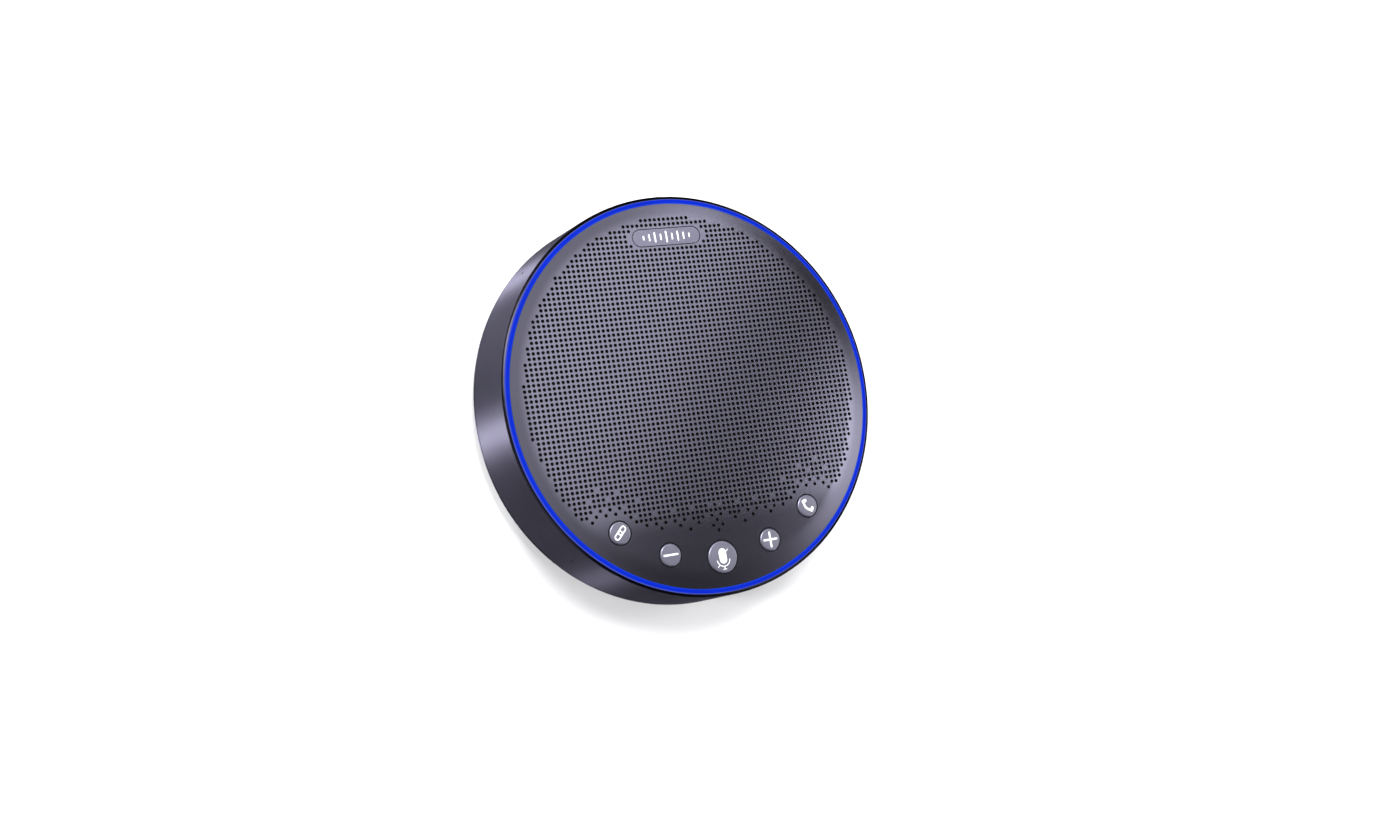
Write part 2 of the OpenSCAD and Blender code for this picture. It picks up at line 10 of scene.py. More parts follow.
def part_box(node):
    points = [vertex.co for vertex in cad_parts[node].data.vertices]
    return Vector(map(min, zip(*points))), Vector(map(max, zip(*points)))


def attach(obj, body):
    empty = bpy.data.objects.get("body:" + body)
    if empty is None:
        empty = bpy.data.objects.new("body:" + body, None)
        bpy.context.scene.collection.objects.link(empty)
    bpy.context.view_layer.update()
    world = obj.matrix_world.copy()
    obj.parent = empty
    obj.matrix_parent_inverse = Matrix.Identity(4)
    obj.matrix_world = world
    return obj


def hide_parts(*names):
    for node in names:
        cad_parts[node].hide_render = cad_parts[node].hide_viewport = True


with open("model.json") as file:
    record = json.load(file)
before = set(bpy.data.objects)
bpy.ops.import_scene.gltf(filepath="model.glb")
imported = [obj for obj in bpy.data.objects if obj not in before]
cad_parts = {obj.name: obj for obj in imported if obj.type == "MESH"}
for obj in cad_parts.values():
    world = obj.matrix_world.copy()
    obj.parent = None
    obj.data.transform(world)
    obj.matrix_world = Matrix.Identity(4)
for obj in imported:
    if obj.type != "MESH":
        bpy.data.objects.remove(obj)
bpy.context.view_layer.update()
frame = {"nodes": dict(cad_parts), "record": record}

# ---------------------------------------------------------------- sizes, in mm, from the CAD frame
MM = 0.001
X, Y, Z = 0, 1, 2


def low(node, axis):
    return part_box(node)[0][axis] / MM


def high(node, axis):
    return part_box(node)[1][axis] / MM


def middle(node, axis):
    return (low(node, axis) + high(node, axis)) / 2


FACE_Z = high("face_grille", Z)
GRILLE_Z = low("face_grille", Z)
GRILLE_R = high("face_grille", X)
RING_R = high("light_ring", X)
RING_W = 1.6
LEDGE_Z = low("light_ring", Z)
CASE_R = 66.97
FRONT_R = 66.45
CHAMFER_Z = FACE_Z - 0.8
BACK_EDGE_Z = 6.1
SEAM_LOW_Z = BACK_EDGE_Z + 0.9
SEAM_HIGH_Z = low("side_housing", Z) + 0.02
WALL_IN_R = 64.4
COVER_Z = low("bottom_cover", Z)
BUTTON_TOP_Z = high("mute_button", Z) - 0.03
BUTTON_GAP = 0.33
FLANGE_EXTRA = 0.7
MIC_Z = FACE_Z - 13
MIC_ANGLES = (45, 135, 225, 315)
PORT_FACE_Y = high("usb_socket", Y)

# Hole field of the face: a square lattice
PITCH = 1.674
HOLE_R = 0.6
FIELD_R2 = 1251
FIELD_EDGE = PITCH * math.sqrt(FIELD_R2)
FIELD_END_Y = -39
RIM_DROP = 0.26
BADGE_L, BADGE_W = 25.1, 6.1

LATHE_STEPS = 256


# ---------------------------------------------------------------- mesh helpers
def circle(cx, cy, r, n=48, phase=0.0):
    """Points of a circle, counterclockwise."""
    turn = 2 * math.pi / n
    return [(cx + r * math.cos(turn * (k + phase)), cy + r * math.sin(turn * (k + phase))) for k in range(n)]


def capsule(p, q, width, n=10):
    """Outline of a bar with round ends from p to q."""
    a = math.atan2(q[1] - p[1], q[0] - p[0])
    r = width / 2
    ends = [(q, a - math.pi / 2), (p, a + math.pi / 2)]
    return [
        (c[0] + r * math.cos(start + math.pi * k / n), c[1] + r * math.sin(start + math.pi * k / n))
        for c, start in ends
        for k in range(n + 1)
    ]


def stadium(cx, cy, w, h, n=16):
    """Outline of a w by h bar with round ends, along x."""
    half = (w - h) / 2
    return capsule((cx - half, cy), (cx + half, cy), h, n)


def rectangle(cx, cy, w, h):
    """Corners of a w by h rectangle, counterclockwise."""
    return [(cx + sx * w / 2, cy + sy * h / 2) for sx, sy in ((-1, -1), (1, -1), (1, 1), (-1, 1))]


def arc_points(cx, cy, r, a0, a1, n):
    """Points of an arc from a0 to a1 degrees."""
    angles = [math.radians(a0 + (a1 - a0) * k / n) for k in range(n + 1)]
    return [(cx + r * math.cos(a), cy + r * math.sin(a)) for a in angles]


def arc_stroke(cx, cy, r, a0, a1, width, n=20):
    """Outline of an arc of that width with flat ends."""
    outer = arc_points(cx, cy, r + width / 2, a0, a1, n)
    inner = arc_points(cx, cy, r - width / 2, a1, a0, n)
    return outer + inner


def turned(points, degrees, at=(0, 0)):
    """Points turned about the origin, then moved."""
    c, s = math.cos(math.radians(degrees)), math.sin(math.radians(degrees))
    return [(at[0] + x * c - y * s, at[1] + x * s + y * c) for x, y in points]


def flat_solid(outlines, holes, z0, z1):
    """Vertices and faces of a closed solid between z0 and z1, over the union of the outlines less the holes.

    The outlines run counterclockwise.
    """
    points, loops = [], []
    for loop in outlines + holes:
        loops.append(list(range(len(points), len(points) + len(loop))))
        points += [Vector(p) for p in loop]
    flat, _, tris, _, _, sources = delaunay_2d_cdt(points, [], loops, 1, 1e-5)
    solid = set(range(len(outlines)))
    kept = [t for t, found in zip(tris, sources) if found and set(found) <= solid]
    used = sorted({i for t in kept for i in t})
    place = {old: new for new, old in enumerate(used)}
    n = len(used)
    verts = [(flat[i].x, flat[i].y, z1) for i in used] + [(flat[i].x, flat[i].y, z0) for i in used]
    top = [[place[i] for i in t] for t in kept]
    edges = {}
    for t in top:
        for a, b in zip(t, t[1:] + t[:1]):
            edges[(a, b)] = True
    rims = [(a, b) for a, b in edges if (b, a) not in edges]
    walls = [[b, a, a + n, b + n] for a, b in rims]
    bottom = [[i + n for i in reversed(t)] for t in top]
    return verts, top + walls + bottom


def fillet(points, radii, n=4):
    """Closed outline with its corners rounded, each by its own radius."""
    out = []
    for k, (p, r) in enumerate(zip(points, radii)):
        p = Vector(p)
        if r == 0:
            out.append(tuple(p))
            continue
        u = (Vector(points[k - 1]) - p).normalized()
        v = (Vector(points[(k + 1) % len(points)]) - p).normalized()
        half = u.angle(v) / 2
        centre = p + (u + v).normalized() * (r / math.sin(half))
        start = p + u * (r / math.tan(half)) - centre
        end = p + v * (r / math.tan(half)) - centre
        sweep = start.angle_signed(end)
        for s in range(n + 1):
            out.append(tuple(centre + Matrix.Rotation(-sweep * s / n, 2) @ start))
    return out


def lathe(profile, steps=LATHE_STEPS):
    """Solid turned round Z from a closed outline of (r, z) points: its vertices and faces."""
    verts, rings = [], []
    for r, z in profile:
        count = 1 if r < 1e-6 else steps
        rings.append((len(verts), count))
        turn = 2 * math.pi / steps
        verts += [(r * math.cos(turn * s), r * math.sin(turn * s), z) for s in range(count)]
    faces = []
    for (a, na), (b, nb) in zip(rings, rings[1:] + rings[:1]):
        if na == nb == 1:
            continue
        for s in range(steps):
            t = (s + 1) % steps
            quad = [a + s % na, a + t % na, b + t % nb, b + s % nb]
            faces.append(list(dict.fromkeys(quad)))
    return verts, faces


def piece(name, shape, body, mats, replaces=(), place=None, sharp=35.0, pick=None):
    """Object from vertices in mm and faces, riding on a body.

    pick gives a face's material by its centre in mm.
    """
    verts, faces = shape
    mesh = bpy.data.meshes.new(name)
    moved = [place @ Vector(v) if place else Vector(v) for v in verts]
    mesh.from_pydata([v * MM for v in moved], [], faces)
    obj = bpy.data.objects.new(name, mesh)
    bpy.context.collection.objects.link(obj)
    tidy_mesh(mesh, sharp)
    return finish_piece(obj, body, mats, replaces, pick)


def finish_piece(obj, body, mats, replaces=(), pick=None):
    """Gives an object its materials, body and the CAD nodes it stands for."""
    if not obj.data.polygons:
        raise ValueError(obj.name + " has no faces")
    mats = mats if isinstance(mats, (list, tuple)) else [mats]
    obj.data.materials.clear()
    for mat in mats:
        obj.data.materials.append(mat)
    if pick:
        for face in obj.data.polygons:
            face.material_index = pick(face.center / MM)
    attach(obj, body)
    if replaces:
        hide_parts(*replaces)
    return obj


def tidy_mesh(mesh, sharp):
    """Outward normals, and smooth shading but for edges sharper than that many degrees."""
    bm = bmesh.new()
    bm.from_mesh(mesh)
    bmesh.ops.remove_doubles(bm, verts=bm.verts, dist=1e-7)
    bmesh.ops.dissolve_degenerate(bm, edges=bm.edges, dist=1e-8)
    bmesh.ops.recalc_face_normals(bm, faces=bm.faces)
    bm.to_mesh(mesh)
    bm.free()
    mesh.shade_smooth()
    mesh.set_sharp_from_angle(angle=math.radians(sharp))


def raw(shape, place=None):
    """Loose object to cut with or to add, from vertices in mm and faces."""
    verts, faces = shape
    mesh = bpy.data.meshes.new("tool")
    mesh.from_pydata([(place @ Vector(v) if place else Vector(v)) * MM for v in verts], [], faces)
    tidy_mesh(mesh, 35)
    obj = bpy.data.objects.new("tool", mesh)
    bpy.context.collection.objects.link(obj)
    return obj


def combine(obj, tools, operation):
    """Applies an exact boolean with each tool, and removes the tools."""
    for tool in tools:
        cut = obj.modifiers.new("cut", "BOOLEAN")
        cut.operation = operation
        cut.solver = "EXACT"
        cut.object = tool
        bpy.context.view_layer.update()
        done = bpy.data.meshes.new_from_object(obj.evaluated_get(bpy.context.evaluated_depsgraph_get()))
        obj.modifiers.clear()
        obj.data = done
        bpy.data.objects.remove(tool)
    tidy_mesh(obj.data, 35)
    return obj


def box_shape(x0, x1, y0, y1, z0, z1):
    """Box between those sides."""
    outline = [(x0, y0), (x1, y0), (x1, y1), (x0, y1)]
    return flat_solid([outline], [], z0, z1)


def rounded_box(x0, x1, y0, y1, z0, z1, r, n=4):
    """Box with rounded edges along z."""
    outline = fillet([(x0, y0), (x1, y0), (x1, y1), (x0, y1)], [r] * 4, n)
    return flat_solid([outline], [], z0, z1)


def soften(obj, width, segments=2):
    """Rounds the sharp edges of a finished object by that width in mm."""
    bevel = obj.modifiers.new("soft_edges", "BEVEL")
    bevel.width = width * MM
    bevel.segments = segments
    bevel.limit_method = "ANGLE"
    bevel.angle_limit = math.radians(40)
    bevel.harden_normals = True
    return obj


ALONG_Y = Matrix(((1, 0, 0), (0, 0, -1), (0, 1, 0)))
ALONG_X = Matrix(((0, 0, 1), (1, 0, 0), (0, 1, 0)))


# ---------------------------------------------------------------- materials
class Shader:
    """One material's nodes, with short calls for what the materials here share."""

    def __init__(self, name, color, rough, metal=0.0):
        self.mat = bpy.data.materials.new(name)
        self.mat.use_nodes = True
        self.nodes, self.links = self.mat.node_tree.nodes, self.mat.node_tree.links
        self.bsdf = self.nodes["Principled BSDF"]
        self.bsdf.inputs["Metallic"].default_value = metal
        self.bsdf.inputs["Base Color"].default_value = (*color, 1)
        self.bsdf.inputs["Roughness"].default_value = rough
        self.color, self.rough = color, rough
        self.where = self.nodes.new("ShaderNodeTexCoord").outputs["Object"]
        self.height = None

    def new(self, kind, **inputs):
        node = self.nodes.new(kind)
        for name, value in inputs.items():
            socket = node.inputs[name.replace("_", " ")]
            if isinstance(value, bpy.types.NodeSocket):
                self.links.new(value, socket)
            else:
                socket.default_value = value
        return node

    def maths(self, operation, a, b=0.0):
        node = self.nodes.new("ShaderNodeMath")
        node.operation = operation
        for socket, value in zip(node.inputs, (a, b)):
            if isinstance(value, bpy.types.NodeSocket):
                self.links.new(value, socket)
            else:
                socket.default_value = value
        return node.outputs[0]

    def noise(self, scale, detail=3.0, stretch=None):
        """Noise of about that many cells a metre."""
        where = self.where
        if stretch:
            node = self.new("ShaderNodeMapping", Vector=where)
            node.inputs["Scale"].default_value = stretch
            where = node.outputs[0]
        return self.new("ShaderNodeTexNoise", Vector=where, Scale=scale, Detail=detail).outputs["Fac"]

    def map(self, value, lo, hi):
        """Value from 0.3 to 0.7, as noise is, spread from lo to hi."""
        node = self.new("ShaderNodeMapRange", Value=value)
        node.inputs["From Min"].default_value, node.inputs["From Max"].default_value = 0.3, 0.7
        node.inputs["To Min"].default_value, node.inputs["To Max"].default_value = lo, hi
        return node.outputs[0]

    def span(self, value, start, end):
        """0 to 1 as a length goes from start to end, in mm."""
        node = self.new("ShaderNodeMapRange", Value=value)
        node.interpolation_type = "SMOOTHSTEP"
        node.inputs["From Min"].default_value, node.inputs["From Max"].default_value = start * MM, end * MM
        return node.outputs[0]

    def radius(self, axes):
        """Distance from the Z axis, from the separated coordinates."""
        squares = [self.maths("POWER", axes.outputs[k], 2.0) for k in (X, Y)]
        return self.maths("SQRT", self.maths("ADD", *squares))

    def ramp(self, value, stops):
        """Colour along stops of (place, colour)."""
        node = self.new("ShaderNodeValToRGB", Fac=value)
        points = node.color_ramp.elements
        while len(points) < len(stops):
            points.new(0.5)
        for point, (at, color) in zip(points, stops):
            point.position = at
            point.color = (*color, 1)
        return node.outputs["Color"]

    def vary_color(self, value, amount):
        """Colour a little lighter and darker with a noise value."""
        darker = tuple(c * (1 - amount) for c in self.color)
        lighter = tuple(min(1, c * (1 + amount)) for c in self.color)
        self.links.new(self.ramp(value, [(0.3, darker), (0.7, lighter)]), self.bsdf.inputs["Base Color"])

    def vary_rough(self, value, amount):
        spread = self.map(value, self.rough - amount, self.rough + amount)
        self.links.new(spread, self.bsdf.inputs["Roughness"])

    def add_height(self, value, weight):
        """Adds to the height that the bump reads, in mm."""
        scaled = self.maths("MULTIPLY", value, weight * MM)
        self.height = scaled if self.height is None else self.maths("ADD", self.height, scaled)

    def done(self):
        if self.height is not None:
            bump = self.new("ShaderNodeBump", Height=self.height)
            bump.inputs["Strength"].default_value = 1.0
            bump.inputs["Distance"].default_value = 1.0
            self.links.new(bump.outputs["Normal"], self.bsdf.inputs["Normal"])
        return self.mat


def satin_metal(name, color, rough, metal=0.9, grain=0.0012, spun=0.0, edge=1.0):
    """Bead-blasted metal under a satin coat: fine grain, soft mottling. A spun one spreads light along Z."""
    s = Shader(name, color, rough, metal)
    s.bsdf.inputs["Specular Tint"].default_value = (edge, edge, edge, 1)
    s.vary_color(s.noise(60, 2), 0.05)
    s.vary_rough(s.noise(3000, 2), 0.012)
    s.add_height(s.noise(9000, 2), grain)
    if spun:
        tangent = s.nodes.new("ShaderNodeTangent")
        tangent.direction_type = "RADIAL"
        tangent.axis = "Z"
        s.links.new(tangent.outputs[0], s.bsdf.inputs["Tangent"])
        s.bsdf.inputs["Anisotropic"].default_value = spun
        s.bsdf.inputs["Anisotropic Rotation"].default_value = 0.25
    return s.done()


def face_metal():
    """Satin plate with painted shade: its colour is darker outside the field of holes. A bump tips its rim
    down.
    """
    s = Shader("face_satin", FACE_COLOR, 0.226, 0.98)
    s.bsdf.inputs["Specular Tint"].default_value = (0.4, 0.4, 0.4, 1)
    axes = s.new("ShaderNodeSeparateXYZ", Vector=s.where)
    radius = s.radius(axes)
    inside = s.span(radius, FIELD_EDGE + 2.5, FIELD_EDGE - 3)
    above = s.span(axes.outputs[Y], FIELD_END_Y - 5, FIELD_END_Y + 5)
    holed = s.maths("MULTIPLY", inside, above)
    # Painted shade: the plain face outside the hole field gets a darker share of the plate's colour, with
    # random mottling inside the field.
    plain = tuple(PLAIN_PAINTED_SHADE * c for c in FACE_COLOR)
    shade_mask_and_mottle = s.maths("MULTIPLY", holed, s.map(s.noise(60, 2), 0.92, 1.0))
    s.links.new(s.ramp(shade_mask_and_mottle, [(0.0, plain), (1.0, FACE_COLOR)]), s.bsdf.inputs["Base Color"])
    s.vary_rough(s.noise(3000, 2), 0.012)
    s.add_height(s.noise(9000, 2), 0.0001)
    s.add_height(s.span(radius, FIELD_EDGE - 2, GRILLE_R + 1.5), -RIM_DROP)
    return s.done()


def moulded_plastic(name, color, rough, grain=0.004, scale=4000, shine=0.5):
    """Spark-eroded plastic: fine texture with slight flow marks."""
    s = Shader(name, color, rough)
    s.bsdf.inputs["Specular IOR Level"].default_value = shine
    s.vary_color(s.noise(120, 3), 0.12)
    s.vary_rough(s.noise(700, 2), 0.07)
    s.add_height(s.noise(scale, 2), grain)
    return s.done()


def rubber(name, color):
    """Dull rubber with a fine tooth and a little dust in it."""
    s = Shader(name, color, 0.82)
    s.vary_color(s.noise(300, 4), 0.35)
    s.vary_rough(s.noise(500, 3), 0.08)
    s.add_height(s.noise(3500, 3), 0.012)
    return s.done()


def cloth(name, color, threads):
    """Plain weave of that many threads a metre."""
    s = Shader(name, color, 0.9)
    axes = s.new("ShaderNodeSeparateXYZ", Vector=s.where)
    turns = 2 * math.pi * threads
    over = [s.maths("SINE", s.maths("MULTIPLY", axes.outputs[k], turns)) for k in (X, Y)]
    weave = s.maths("MULTIPLY", *over)
    # Painted shade: the colour falls to 0.4 of itself where the weave dips.
    s.links.new(
        s.ramp(s.maths("MULTIPLY_ADD", weave, 0.25), [(0.0, tuple(c * 0.4 for c in color)), (0.5, color)]),
        s.bsdf.inputs["Base Color"],
    )
    s.add_height(weave, 0.02)
    return s.done()


def bare_metal(name, color, rough, stretch=(1, 1, 30), grain=0.002):
    """Drawn or ground metal with fine lines along one way."""
    s = Shader(name, color, rough, 1.0)
    s.vary_color(s.noise(90, 2), 0.06)
    s.vary_rough(s.noise(400, 4, stretch), 0.08)
    s.add_height(s.noise(700, 3, stretch), grain)
    return s.done()


def circuit(name, color, trace):
    """Solder mask with routed tracks and pads showing through."""
    s = Shader(name, color, 0.35)
    bricks = s.new("ShaderNodeTexBrick", Vector=s.where, Scale=260.0)
    bricks.inputs["Color1"].default_value = (*color, 1)
    bricks.inputs["Color2"].default_value = (*[c * 1.35 for c in color], 1)
    bricks.inputs["Mortar"].default_value = (*trace, 1)
    bricks.inputs["Mortar Size"].default_value = 0.035
    s.links.new(bricks.outputs["Color"], s.bsdf.inputs["Base Color"])
    s.add_height(bricks.outputs["Fac"], -0.02)
    s.vary_rough(s.noise(800, 2), 0.08)
    return s.done()


def glowing_ring():
    """Lit diffuser: deep blue along its middle, pale where the light grazes its two edges."""
    s = Shader("ring_glow", (0.001, 0.004, 0.05), 0.4)
    s.bsdf.inputs["Specular IOR Level"].default_value = 0.02
    axes = s.new("ShaderNodeSeparateXYZ", Vector=s.where)
    radius = s.radius(axes)
    inner = (RING_R - RING_W) * MM
    across = s.new("ShaderNodeMapRange", Value=radius)
    across.inputs["From Min"].default_value = inner
    across.inputs["From Max"].default_value = RING_R * MM
    deep, pale, grey = (0.0, 0.018, 0.58), (0.006, 0.05, 0.66), (0.07, 0.09, 0.4)
    stops = [(0.0, pale), (0.1, pale), (0.24, deep), (0.78, deep), (0.92, grey), (1.0, grey)]
    color = s.ramp(across.outputs[0], stops)
    mottle = s.map(s.noise(70, 2), 0.92, 1.08)
    s.links.new(color, s.bsdf.inputs["Emission Color"])
    s.links.new(mottle, s.bsdf.inputs["Emission Strength"])
    s.add_height(s.noise(2500, 2), 0.003)
    return s.done()


def printed_ink(name, color):
    """Thick screen ink, a little uneven."""
    s = Shader(name, color, 0.5)
    s.vary_color(s.noise(1500, 3), 0.04)
    s.add_height(s.noise(5000, 2), 0.004)
    return s.done()


def windings(name, color):
    """Copper wire wound round Z, lacquered."""
    s = Shader(name, color, 0.28, 0.9)
    axes = s.new("ShaderNodeSeparateXYZ", Vector=s.where)
    turns = s.maths("SINE", s.maths("MULTIPLY", axes.outputs[Z], 2 * math.pi * 5000))
    s.add_height(turns, 0.04)
    # Painted shade and highlight: the colour is darker in the grooves between turns and lighter on their
    # crests.
    s.vary_color(turns, 0.15)
    s.bsdf.inputs["Coat Weight"].default_value = 0.6
    return s.done()


FACE_COLOR = (0.1, 0.097, 0.13)
# Share of the face colour kept outside the hole field: painted shade there.
PLAIN_PAINTED_SHADE = 0.45
FACE = face_metal()
WALL = satin_metal("wall_satin", (0.045, 0.043, 0.06), 0.54, 1.0, 0.0005, 1.0, 0.5)
CHAMFER = satin_metal("chamfer_gloss", (0.019, 0.018, 0.025), 0.2, 1.0, 0.0001, 0.0, 0.06)
KEY = moulded_plastic("key_satin", (0.085, 0.083, 0.12), 0.38, 0.001)
KEY_EDGE = satin_metal("key_edge", (0.13, 0.127, 0.17), 0.3, 0.8, 0.0003)
BASE = moulded_plastic("base_plastic", (0.03, 0.028, 0.037), 0.5, 0.006, shine=0.25)
INK = printed_ink("white_ink", (0.86, 0.86, 0.88))
BLACK = moulded_plastic("black_plastic", (0.016, 0.016, 0.018), 0.45)
RUBBER = rubber("foot_rubber", (0.018, 0.018, 0.02))
GLOW = glowing_ring()
DARK_CLOTH = cloth("acoustic_cloth", (0.006, 0.006, 0.007), 3500)
TIN = bare_metal("tin_plate", (0.62, 0.62, 0.63), 0.28)
GOLD = bare_metal("gold_flash", (0.85, 0.6, 0.25), 0.22)
DONGLE = moulded_plastic("dongle_plastic", (0.02, 0.02, 0.024), 0.5, 0.005)
DONGLE_CAP = moulded_plastic("dongle_cap", (0.16, 0.16, 0.18), 0.3, 0.001)
NICKEL = bare_metal("nickel_plate", (0.8, 0.8, 0.82), 0.16, (1, 30, 1), 0.0008)

SLOT_MATERIALS = {
    "case_metal": WALL, "base_plastic": BASE, "foot_rubber": RUBBER, "ring_diffuser": GLOW,
    "face_metal": FACE, "badge_metal": FACE, "acoustic_cloth": DARK_CLOTH, "key_plastic": KEY,
    "power_key_plastic": WALL, "dark_plastic": BLACK,
    "frame_plastic": moulded_plastic("frame_plastic", (0.025, 0.025, 0.028), 0.55, 0.008),
    "circuit_board": circuit("board_green", (0.012, 0.085, 0.035), (0.05, 0.2, 0.08)),
    "white_board": circuit("board_white", (0.62, 0.62, 0.6), (0.45, 0.45, 0.44)),
    "screw_steel": bare_metal("zinc_steel", (0.55, 0.55, 0.57), 0.3),
    "led_package": moulded_plastic("led_package", (0.75, 0.7, 0.45), 0.25, 0.001),
    "basket_metal": satin_metal("basket_paint", (0.03, 0.03, 0.034), 0.45, 0.6),
    "ferrite": bare_metal("ferrite", (0.05, 0.05, 0.055), 0.5, (20, 1, 1), 0.01),
    "plated_steel": bare_metal("plated_steel", (0.55, 0.54, 0.5), 0.3),
    "soft_rubber": rubber("soft_rubber", (0.02, 0.02, 0.022)),
    "terminal_brass": bare_metal("terminal_brass", (0.7, 0.5, 0.22), 0.3),
    "cone_paper": moulded_plastic("cone_pulp", (0.035, 0.035, 0.037), 0.85, 0.03, 1500),
    "spider_cloth": cloth("spider_cloth", (0.5, 0.34, 0.12), 1500),
    "coil_copper": windings("coil_copper", (0.72, 0.36, 0.16)),
    "chip_package": moulded_plastic("chip_package", (0.012, 0.012, 0.013), 0.55, 0.006),
    "shield_can": TIN,
    "capacitor_sleeve": moulded_plastic("capacitor_sleeve", (0.02, 0.03, 0.11), 0.25, 0.001),
    "connector_nylon": moulded_plastic("connector_nylon", (0.65, 0.6, 0.45), 0.4),
    "cell_wrap": moulded_plastic("cell_wrap", (0.02, 0.12, 0.27), 0.22, 0.002),
    "strap_steel": bare_metal("strap_steel", (0.45, 0.45, 0.47), 0.25, (1, 30, 1)),
    "lead_jacket": moulded_plastic("lead_jacket", (0.35, 0.015, 0.012), 0.35),
    "ribbon_film": circuit("ribbon_film", (0.38, 0.16, 0.03), (0.6, 0.3, 0.08)),
    "capsule_metal": GOLD, "dongle_plastic": DONGLE, "dongle_cap_plastic": DONGLE_CAP,
    "plug_steel": NICKEL,
    "tongue_plastic": moulded_plastic("tongue_plastic", (0.7, 0.7, 0.7), 0.35),
}


def finish_cad_nodes():
    """Gives every CAD node the material of its record slot; the pieces below stand in for the outer ones."""
    slots = {part["node"]: part["material_slot"] for part in frame["record"]["subparts"]}
    for name, node in frame["nodes"].items():
        node.data.materials.clear()
        node.data.materials.append(SLOT_MATERIALS[slots[name]])


# ---------------------------------------------------------------- face
BUTTONS = ("mute", "plus", "minus", "call", "link")


def button_at(key):
    """Centre and radius of a button's cap."""
    node = key + "_button"
    radius = (high(node, X) - low(node, X)) / 2 - FLANGE_EXTRA
    return (middle(node, X), middle(node, Y)), radius


# Rows at the bottom of the field, where the holes thin out towards the buttons
FRINGE = {
    -16: lambda a: a != 24,
    -17: lambda a: a != 20,
    -18: lambda a: a not in (22, 26),
    -19: lambda a: a != 16,
    -20: lambda a: a <= 18 or a % 2 == 0 or a >= 27,
    -21: lambda a: a <= 18 or a % 2 == 1 or a >= 27,
    -22: lambda a: (a <= 18 and a % 4 != 1) or a == 26,
    -23: lambda a: a <= 17,
    -24: lambda a: (a <= 15 and a % 2 == 1) or a == 4,
    -25: lambda a: a in (0, 4, 8, 12),
    -26: lambda a: a in (1, 6),
    -27: lambda a: a == 0,
}


def has_hole(i, j):
    """Whether the lattice place in column i and row j has a hole. The field is symmetric in i."""
    a = abs(i)
    if i * i + j * j > FIELD_R2 or j < min(FRINGE):
        return False
    if j in (30, 33):
        return a >= 8
    if j in (31, 32):
        return a >= 9
    return FRINGE[j](a) if j in FRINGE else True


def make_face():
    """Perforated plate with openings for the buttons and the badge. Their walls are black: painted shade
    inside the holes and openings.
    """
    reach = range(-36, 37)
    holes = [circle(i * PITCH, j * PITCH, HOLE_R, 12, 0.5) for i in reach for j in reach if has_hole(i, j)]
    for key in BUTTONS:
        (cx, cy), r = button_at(key)
        holes.append(circle(cx, cy, r + BUTTON_GAP, 64))
    holes.append(stadium(0, middle("badge", Y), BADGE_L, BADGE_W))
    shape = flat_solid([circle(0, 0, GRILLE_R, LATHE_STEPS)], holes, GRILLE_Z, FACE_Z)
    middle_z = (GRILLE_Z + FACE_Z) / 2

    # Black on the walls of the holes and openings is painted shade.
    def pick(centre):
        return 1 if abs(centre.z - middle_z) < 0.1 else 0

    piece("perforated_face", shape, "case", [FACE, BLACK], ["face_grille"], pick=pick)


def make_badge():
    """Plate in the badge's recess with a plain row of sound bars on it."""
    cy = middle("badge", Y)
    edge = 0.22
    plate = flat_solid([stadium(0, cy, BADGE_L - 0.5, BADGE_W - 0.5)], [], low("badge", Z), FACE_Z)
    badge = piece("badge_plate", plate, "case", FACE, ["badge"])
    soften(badge, edge)
    under = low("badge", Z)
    # Black sheet under the groove round the badge: painted shade in the groove.
    floor = flat_solid([stadium(0, cy, BADGE_L + 1, BADGE_W + 1)], [], under - 0.4, under - 0.02)
    piece("badge_groove_shade", floor, "case", BLACK)
    heights = (1.0, 1.9, 2.9, 1.7, 3.4, 1.7, 2.9, 1.9, 1.0)
    gap = 2.1
    bars = [
        capsule(((k - 4) * gap, cy - h / 2), ((k - 4) * gap, cy + h / 2), 0.5)
        for k, h in enumerate(heights)
    ]
    piece("badge_bars", flat_solid(bars, [], FACE_Z - 0.02, FACE_Z + 0.05), "case", INK)


def icon_outlines(key):
    """Outlines and holes of a button's pictogram, about the button's centre."""
    if key == "minus":
        return [capsule((-2.35, 0), (2.35, 0), 0.62)], []
    if key == "plus":
        return [capsule((-2.3, 0), (2.3, 0), 0.66), capsule((0, -2.3), (0, 2.3), 0.66)], []
    if key == "mute":
        solid = [
            capsule((0, -0.85), (0, 1.45), 2.6, 14),
            arc_stroke(0, -0.75, 2.3, 184, 356, 0.26),
            capsule((0, -3.05), (0, -3.95), 0.28),
            capsule((-0.6, -4.0), (0.6, -4.0), 0.22),
            capsule((-2.3, -3.1), (-1.8, -2.6), 0.22),
            capsule((1.5, 1.7), (2.05, 2.25), 0.22),
        ]
        return solid, []
    if key == "call":
        handle = arc_stroke(0, 0, 2.5, -50, 50, 0.75)
        ends = [turned(capsule((-0.4, 0), (0.4, 0), 1.1), side * 20, (1.35, side * 1.9)) for side in (-1, 1)]
        return [turned([(x - 1.6, y) for x, y in part], 219) for part in [handle] + ends], []
    solid, holes = [], []
    for side in (-1, 1):
        reach = side * 0.95 * math.cos(math.radians(45))
        solid.append(turned(stadium(0, 0, 3.5, 2.0), 45, (reach, reach)))
        holes.append(turned(stadium(0, 0, 2.65, 1.15), 45, (reach, reach)))
    return solid, holes


